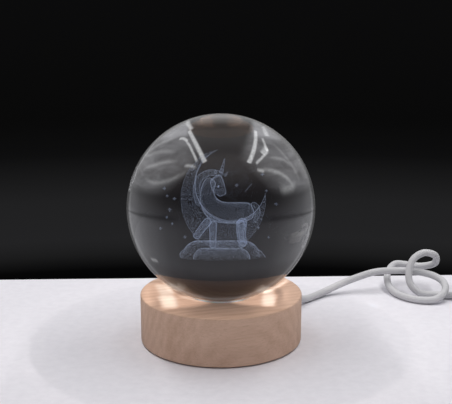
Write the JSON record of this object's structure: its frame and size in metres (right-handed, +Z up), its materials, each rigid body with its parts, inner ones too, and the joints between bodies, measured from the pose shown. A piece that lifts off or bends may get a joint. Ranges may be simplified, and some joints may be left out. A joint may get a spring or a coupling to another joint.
{
  "type": "light-up ball ornament",
  "caption": "Solid glass ball with an engraved figure inside, resting on a round wooden light base with a corded in-line switch and power plug.",
  "frame": {"origin": "centre of the round base, on the surface that its four feet stand on", "axes": "+Z up through the middle of the ball, +X to the viewer's right, where the cord goes, and -Y towards the viewer of the picture"},
  "size_m": [0.2187, 0.1272, 0.0986],
  "materials": {
    "glass": "polished clear optical glass, engraved inside",
    "wood": "fine-sanded pale hardwood with a thin satin varnish",
    "lens": "frosted translucent moulding",
    "board": "white solder mask",
    "phosphor": "yellow phosphor resin in a white case",
    "resistor": "black coated chip",
    "steel": "bright zinc-plated steel",
    "plate": "fine matt moulding",
    "pad": "soft matt rubber",
    "cord": "soft white jacket, slightly silky",
    "lead_red": "thin red insulation",
    "lead_black": "thin black insulation",
    "tie": "plastic-covered wire",
    "white_plastic": "semi-gloss white moulding",
    "brass": "stamped and plated strip",
    "plug_metal": "nickel-plated sheet"
  },
  "bodies": {
    "base": {"wood_base": "wood", "light_lens": "lens", "led_board": "board", "led_1": "phosphor", "led_2": "phosphor", "led_3": "phosphor", "resistor_1": "resistor", "resistor_2": "resistor", "resistor_3": "resistor", "board_screw_1": "steel", "board_screw_2": "steel", "bottom_plate": "plate", "plate_screw_1": "steel", "plate_screw_2": "steel", "plate_screw_3": "steel", "foot_pad_1": "pad", "foot_pad_2": "pad", "foot_pad_3": "pad", "foot_pad_4": "pad", "cord_gland": "cord", "jacket_end": "cord", "lead_positive": "lead_red", "lead_negative": "lead_black", "cord_run": "cord", "cord_return": "cord", "cord_coil": "cord", "cord_tail": "cord", "coil_tie": "tie", "switch_lower_case": "white_plastic", "switch_upper_case": "white_plastic", "switch_screw_1": "steel", "switch_screw_2": "steel", "switch_line_contact": "brass", "switch_load_contact": "brass", "switch_lead_in": "lead_red", "switch_lead_out": "lead_red", "switch_lead_through": "lead_black", "plug_body": "white_plastic", "plug_shell": "plug_metal", "plug_tongue": "white_plastic", "plug_contact_1": "brass", "plug_contact_2": "brass", "plug_contact_3": "brass", "plug_contact_4": "brass"},
    "ball": {"glass_ball": "glass"},
    "rocker": {"switch_rocker": "white_plastic", "switch_bridge_contact": "brass"}
  },
  "joints": [
    {"name": "ball_lift", "type": "slide", "parent": "base", "child": "ball", "axis": [0, 0, 1], "range_m": [0, 0.06]},
    {"name": "switch_rock", "type": "hinge", "parent": "base", "child": "rocker", "pos_m": [0.121, 0.0105, 0.0102], "axis": [1, 0, 0], "range_deg": [0, 14.6]}
  ]
}
